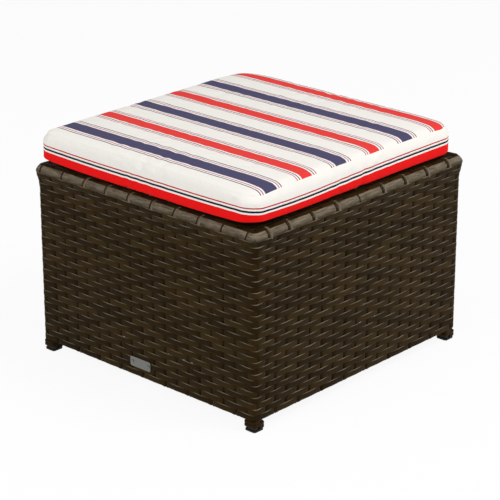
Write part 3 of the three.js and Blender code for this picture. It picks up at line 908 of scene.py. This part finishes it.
# Corner radii, and how far the corners of the top are drawn down, by the signs of x and y
CUSHION_CORNERS = {(1, -1): 32 * MM, (1, 1): 31 * MM, (-1, 1): 36 * MM, (-1, -1): 26 * MM}
CORNER_DROPS = {(1, -1): 3 * MM, (1, 1): 3 * MM, (-1, 1): 7.5 * MM, (-1, -1): 0.5 * MM}
CORNER_DROP_REACH = 90 * MM

# How the cover's lower part lifts by its front corners, and how the bands and stripes run off true
CORNER_LIFT = 7 * MM
CORNER_LIFT_REACH = 160 * MM
CORNER_BAND_RISE = 2.6 * MM
LIFTED_BELOW = 356 * MM
FRONT_SAG = 1.4 * MM
RIGHT_SAG = 5.2 * MM
RIGHT_SAG_MIDDLE = -130 * MM
RIGHT_SAG_REACH = 150 * MM
STRIPE_BEND = 6 * MM
STRIPE_BEND_REACH = 70 * MM

# The cloth in the simulation: it starts inside its form, a little larger than the foam that holds it
COVER_START = 1.5 * MM
COVER_EXCESS = 0.006
COVER_PRESSURE = 4
COVER_QUALITY = 4
COVER_FRAMES = 20
COVER_REACH = 4 * MM
LEAST_MOVE = 1e-9
FOAM_HOLD = 0.2
FOAM_STIFFNESS = 0.5
BACK_HOLD = 30 * MM

# Seams, drawn in with small puckers beside them
SEAM_DEPTH = 0.9 * MM
SEAM_SWELL = 0.1 * MM
SEAM_PUCKER = 0.12 * MM

# The cushion's grid
EDGE_CELL = 2.6 * MM
EDGE_CELLS = 5
GRID_CELL = 6 * MM


def axis_places(half):
    """Places of the grid's lines across one side of the cushion, closer by the edges"""
    middle = half - EDGE_CELL * EDGE_CELLS
    count = round(2 * middle / GRID_CELL)
    inner = np.linspace(-middle, middle, count + 1)
    edge = middle + EDGE_CELL * np.arange(1, EDGE_CELLS + 1)
    return np.concatenate([-edge[::-1], inner, edge])


def corner_of(x, y):
    """The corner that a place in plan is by, as the signs of x and y"""
    return (1 if x >= 0 else -1, 1 if y >= 0 else -1)


def rounded(x, y, half_x, half_y):
    """Moves a point of a plain rectangle to its place in the one with round corners"""
    radius = CUSHION_CORNERS[corner_of(x, y)]
    p = (abs(x) - (half_x - radius)) / radius
    q = (abs(y) - (half_y - radius)) / radius
    if p <= 0 or q <= 0:
        return x, y
    moved_p = p * math.sqrt(1 - q * q / 2)
    moved_q = q * math.sqrt(1 - p * p / 2)
    return x - math.copysign((p - moved_p) * radius, x), y - math.copysign((q - moved_q) * radius, y)


def drawn_in(x, y):
    """The front, left and right sides pull in a little between the corners"""
    side_x = 1 - (y / CUSHION_HALF_DEPTH) ** 2
    side_y = 1 - (x / CUSHION_HALF_WIDTH) ** 2
    x -= math.copysign(DRAW_IN * side_x * (abs(x) / CUSHION_HALF_WIDTH) ** DRAW_IN_POWER, x)
    if y < 0:
        y += DRAW_IN * side_y * (abs(y) / CUSHION_HALF_DEPTH) ** DRAW_IN_POWER
    return x, y


def in_plan(grid_x, grid_y, inset):
    """Where a point of the plain grid lies in plan, when the outline is drawn in by an inset"""
    half_x = CUSHION_HALF_WIDTH - inset
    half_y = CUSHION_HALF_DEPTH - inset
    x = grid_x * half_x / CUSHION_HALF_WIDTH
    y = grid_y * half_y / CUSHION_HALF_DEPTH
    return drawn_in(*rounded(x, y, half_x, half_y))


def depth_of(x, y):
    """How far a point is inside the cushion's outline"""
    radius = CUSHION_CORNERS[corner_of(x, y)]
    over_x = abs(x) - (CUSHION_HALF_WIDTH - radius)
    over_y = abs(y) - (CUSHION_HALF_DEPTH - radius)
    return radius - math.hypot(max(over_x, 0), max(over_y, 0)) - min(max(over_x, over_y), 0)


def top_height(x, y, depth):
    """Height of the top panel: rolled over by its edge, crowned, and lower by its corners"""
    left = max(0, TOP_ROLL - depth)
    drop = TOP_ROLL - math.sqrt(max(0, TOP_ROLL**2 - left**2))
    rise = min(1, max(0, depth / CROWN_REACH))
    to_corner = math.hypot(CUSHION_HALF_WIDTH - abs(x), CUSHION_HALF_DEPTH - abs(y))
    near = max(0, 1 - to_corner / CORNER_DROP_REACH)
    crown = CUSHION_CROWN * (1 - (1 - rise) ** CROWN_POWER)
    return CUSHION_TOP - drop + crown - CORNER_DROPS[corner_of(x, y)] * near**2


def bottom_height(_x, _y, depth):
    """Height of the bottom panel: flat, and curved up to the boxing by its edge"""
    share = max(0, 1 - depth / BOTTOM_REACH)
    return CUSHION_BOTTOM + BOTTOM_RISE * (1 - math.sqrt(max(0, 1 - share**2)))


def boxing_levels():
    """The boxing's rings from the top seam to the bottom seam, each as its inset and height"""
    roll_bottom = CUSHION_TOP - TOP_ROLL
    side_bottom = CUSHION_BOTTOM + BOTTOM_RISE
    seam_height = roll_bottom + TOP_ROLL * math.sin(TOP_SEAM_ANGLE)
    seam_rise = top_height(0, 0, TOP_SEAM_INSET) - seam_height
    levels = []
    for i in range(1, ROLL_LEVELS + 1):
        left = 1 - i / ROLL_LEVELS
        angle = TOP_SEAM_ANGLE * left
        height = roll_bottom + TOP_ROLL * math.sin(angle) + seam_rise * left
        levels.append((TOP_ROLL * (1 - math.cos(angle)), height))
    for i in range(1, SIDE_LEVELS + 1):
        levels.append((0, roll_bottom + (side_bottom - roll_bottom) * i / SIDE_LEVELS))
    for i in range(1, UNDER_LEVELS + 1):
        angle = BOTTOM_SEAM_ANGLE * i / UNDER_LEVELS
        height = side_bottom - BOTTOM_RISE * math.sin(angle)
        levels.append((BOTTOM_REACH * (1 - math.cos(angle)), height))
    return levels


def band_sag(x, y):
    """How much lower the boxing's bands run than level, at a place in plan"""
    front_radius = CUSHION_CORNERS[(1, -1)]
    to_front = min(1, max(0, (-y - CUSHION_HALF_DEPTH) / front_radius + 1))
    to_right = min(1, max(0, (x - CUSHION_HALF_WIDTH) / front_radius + 1))
    front = FRONT_SAG * to_front * max(0, 1 - (x / CUSHION_HALF_WIDTH) ** 2)
    return front + RIGHT_SAG * to_right * math.exp(-(((y - RIGHT_SAG_MIDDLE) / RIGHT_SAG_REACH) ** 2))


def lift_front_corners(bm, cloth):
    """Lifts the cover's lower part by the two front corners, and lets its bands run off level"""
    for v in bm.verts:
        x, y, z = v.co - CUSHION_MIDDLE
        to_corner = math.hypot(CUSHION_HALF_WIDTH - abs(x), CUSHION_HALF_DEPTH + y)
        near = max(0, 1 - to_corner / CORNER_LIFT_REACH)
        low_share = min(1, max(0, (LIFTED_BELOW - z) / (LIFTED_BELOW - CUSHION_BOTTOM)))
        v.co.z += CORNER_LIFT * near**2 * low_share
        v[cloth].z += band_sag(x, y) - CORNER_BAND_RISE * near**2


def cushion_form():
    """The cushion as one closed mesh with three materials: top panel, boxing and bottom panel"""
    bm = bmesh.new()
    grid = bm.verts.layers.float_vector.new("grid")
    cloth = bm.verts.layers.float_vector.new("cloth")
    lines_x = axis_places(CUSHION_HALF_WIDTH)
    lines_y = axis_places(CUSHION_HALF_DEPTH)

    def set_place(v, inset, height):
        x, y = in_plan(v[grid].x, v[grid].y, inset)
        v.co = Vector((x, y, height)) + CUSHION_MIDDLE
        v[cloth] = v.co

    def add_panel(seam_inset, height_at):
        for i, line in enumerate(grid_of(bm, len(lines_x) - 1, len(lines_y) - 1)):
            for j, v in enumerate(line):
                v[grid] = (lines_x[i], lines_y[j], 0)
                set_place(v, seam_inset, 0)
                local = v.co - CUSHION_MIDDLE
                v.co.z = height_at(local.x, local.y, depth_of(local.x, local.y))
                bend = STRIPE_BEND * max(0, 1 - (v.co.x - cushion_low.x) / STRIPE_BEND_REACH) ** 2
                v[cloth] = v.co - Vector((0, bend, 0))

    def add_boxing():
        ring = [e for e in bm.edges if e.is_boundary]
        for inset, height in boxing_levels():
            made = bmesh.ops.extrude_edge_only(bm, edges=ring)["geom"]
            for v in made:
                if isinstance(v, bmesh.types.BMVert):
                    set_place(v, inset, height)
            ring = [e for e in made if isinstance(e, bmesh.types.BMEdge) and e.is_boundary]

    def number_new_faces(old_faces, material_number):
        for f in bm.faces:
            if f not in old_faces:
                f.material_index = material_number

    add_panel(TOP_SEAM_INSET, top_height)
    top_faces = set(bm.faces)
    add_boxing()
    number_new_faces(top_faces, 1)
    upper_faces = set(bm.faces)
    add_panel(BOTTOM_SEAM_INSET, bottom_height)
    number_new_faces(upper_faces, 2)
    bmesh.ops.remove_doubles(bm, verts=bm.verts, dist=CUSHION_MERGE)
    bmesh.ops.recalc_face_normals(bm, faces=bm.faces)
    lift_front_corners(bm, cloth)
    return bm


def add_cover_cloth(form):
    """The cover as simulated cloth under pressure, with every point held loosely to the foam"""
    cover = bpy.data.objects.new("cover_cloth", form)
    bpy.context.scene.collection.objects.link(cover)
    held = cover.vertex_groups.new(name="foam")
    held.add(range(len(form.vertices)), FOAM_HOLD, "REPLACE")
    cloth = cover.modifiers.new("cloth", "CLOTH")
    cloth.settings.quality = COVER_QUALITY
    cloth.settings.use_pressure = True
    cloth.settings.uniform_pressure_force = COVER_PRESSURE
    cloth.settings.shrink_min = -COVER_EXCESS
    cloth.settings.vertex_group_mass = "foam"
    cloth.settings.pin_stiffness = FOAM_STIFFNESS
    cloth.settings.effector_weights.gravity = 0
    cloth.point_cache.frame_end = COVER_FRAMES
    return cover


def corner_numbers(face):
    """The numbers of a face's points, in turn from the lowest"""
    numbers = [v.index for v in face.verts]
    first = numbers.index(min(numbers))
    return numbers[first:] + numbers[:first]


def vectors_of(vertices, name):
    """One of the vectors that the vertices have, such as their places, as an array"""
    values = np.empty(3 * len(vertices))
    vertices.foreach_get(name, values)
    return values.reshape(-1, 3)


def settle(bm):
    """Moves the cover's points to where the simulated cloth rests. The order of the faces is fixed, because
    the simulation gives the same result each run only from the same order"""
    bm.verts.index_update()
    mesh = bpy.data.meshes.new("cover_cloth")
    mesh.from_pydata([v.co for v in bm.verts], [], sorted(corner_numbers(f) for f in bm.faces))
    form = vectors_of(mesh.vertices, "co")
    start = form - COVER_START * vectors_of(mesh.vertices, "normal")
    mesh.vertices.foreach_set("co", start.ravel())
    mesh.update()
    cover = add_cover_cloth(mesh)
    for number in range(1, COVER_FRAMES + 1):
        bpy.context.scene.frame_set(number)
    rested = cover.evaluated_get(bpy.context.evaluated_depsgraph_get()).data
    move = vectors_of(rested.vertices, "co") - form
    bpy.data.objects.remove(cover)
    bpy.data.meshes.remove(mesh)
    bpy.context.scene.frame_set(1)
    lengths = np.maximum(np.linalg.norm(move, axis=1), LEAST_MOVE)
    move *= np.minimum(1, COVER_REACH / lengths)[:, None]
    move[:, 1] *= np.clip((cushion_high.y - form[:, 1]) / BACK_HOLD, 0, 1)
    rest = form + move
    rest[:, 2] = np.maximum(rest[:, 2], CUSHION_BOTTOM)
    for v, place in zip(bm.verts, rest):
        v.co = place


def sew(bm):
    """Draws the cloth in along the seams between the boxing and the two panels, with small puckers"""
    bm.normal_update()
    seam = {v for e in bm.edges if len({f.material_index for f in e.link_faces}) > 1 for v in e.verts}
    beside = {e.other_vert(v) for v in seam for e in v.link_edges} - seam
    moves = [(v, -SEAM_DEPTH) for v in bm.verts if v in seam]
    moves += [(v, rng.normal(SEAM_SWELL, SEAM_PUCKER)) for v in bm.verts if v in beside]
    for v, distance in moves:
        v.co += distance * v.normal


def cushion():
    bm = cushion_form()
    settle(bm)
    sew(bm)
    piece = make_object("seat_cushion", bm, "cushion", [stripes, boxing, stripes])
    smooth = piece.modifiers.new("smooth", "SUBSURF")
    smooth.levels = 1
    smooth.render_levels = 1
    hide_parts("foam_core", "cover_top_panel", "cover_boxing", "cover_bottom_panel")


cushion()


# Carried-over pieces of the frame


def dress(prefix, material):
    """Gives the frame's nodes whose names start alike their material"""
    for name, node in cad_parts.items():
        if name.startswith(prefix):
            node.data.materials.clear()
            node.data.materials.append(material)


for prefix in ("leg_", "top_rail_", "bottom_rail_", "deck_bar_"):
    dress(prefix, frame_paint)
dress("foot_glide_", glide_plastic)
dress("name_plate", plate_metal)
dress("plate_rivet_", plate_metal)
dress("zip_tape", zip_tape)
dress("zip_slider", zip_metal)
dress("zip_pull", zip_metal)


# Stage, light and camera


def floor():
    """A wide white floor that looks evenly bright and still takes a soft shadow"""
    n = Nodes("floor_paper")
    n.finish(Base_Color=(FLOOR_TONE, FLOOR_TONE, FLOOR_TONE, 1), Roughness=0.9, Specular_IOR_Level=0.0)
    ray = n.add("LightPath").outputs
    seen = n.math("MAXIMUM", ray["Is Camera Ray"], ray["Is Glossy Ray"])
    seen = n.math("MAXIMUM", seen, ray["Is Transmission Ray"])
    glow = n.add("Emission", {"Color": (1, 1, 1, 1), "Strength": 1.0}).outputs[0]
    share = n.math("MULTIPLY", seen, FLOOR_GLOW)
    blend = n.add("MixShader", {0: share, 1: n.shader.outputs[0], 2: glow}).outputs[0]
    n.put(n.tree.nodes["Material Output"].inputs["Surface"], blend)
    bm = bmesh.new()
    bmesh.ops.create_grid(bm, x_segments=1, y_segments=1, size=FLOOR_HALF_WIDTH)
    mesh = bpy.data.meshes.new("floor")
    bm.to_mesh(mesh)
    bm.free()
    mesh.materials.append(n.material)
    ground = bpy.data.objects.new("floor", mesh)
    bpy.context.scene.collection.objects.link(ground)


def aim(thing, direction):
    """Turns a lamp or camera to look along a direction"""
    thing.rotation_mode = "QUATERNION"
    thing.rotation_quaternion = direction.to_track_quat("-Z", "Y")


def lights():
    """An even white world and three round lamps"""
    world = bpy.data.worlds.new("studio")
    bpy.context.scene.world = world
    world.use_nodes = True
    background = world.node_tree.nodes["Background"]
    background.inputs["Color"].default_value = (1, 1, 1, 1)
    background.inputs["Strength"].default_value = WORLD_STRENGTH
    for name, place, size, power in LAMPS:
        data = bpy.data.lights.new(name, "AREA")
        data.shape = "DISK"
        data.size = size
        data.energy = power
        lamp = bpy.data.objects.new(name, data)
        bpy.context.scene.collection.objects.link(lamp)
        lamp.location = place
        aim(lamp, Vector(LAMP_AIM) - Vector(place))


def camera():
    """The camera on its line of sight through the target"""
    back = Vector((
        math.sin(CAMERA_TURN) * math.cos(CAMERA_RISE),
        -math.cos(CAMERA_TURN) * math.cos(CAMERA_RISE),
        math.sin(CAMERA_RISE),
    ))
    right = Vector((math.cos(CAMERA_TURN), math.sin(CAMERA_TURN), 0))
    target = right * TARGET_SIDE + Vector((0, 0, TARGET_HEIGHT))
    data = bpy.data.cameras.new("camera")
    data.sensor_width = SENSOR_WIDTH
    data.lens = FOCAL_PIXELS / FRAME_PIXELS * SENSOR_WIDTH
    eye = bpy.data.objects.new("camera", data)
    bpy.context.scene.collection.objects.link(eye)
    eye.location = target + back * CAMERA_DISTANCE
    aim(eye, -back)
    bpy.context.scene.camera = eye


floor()
lights()
camera()
bpy.context.scene.view_settings.view_transform = "Standard"
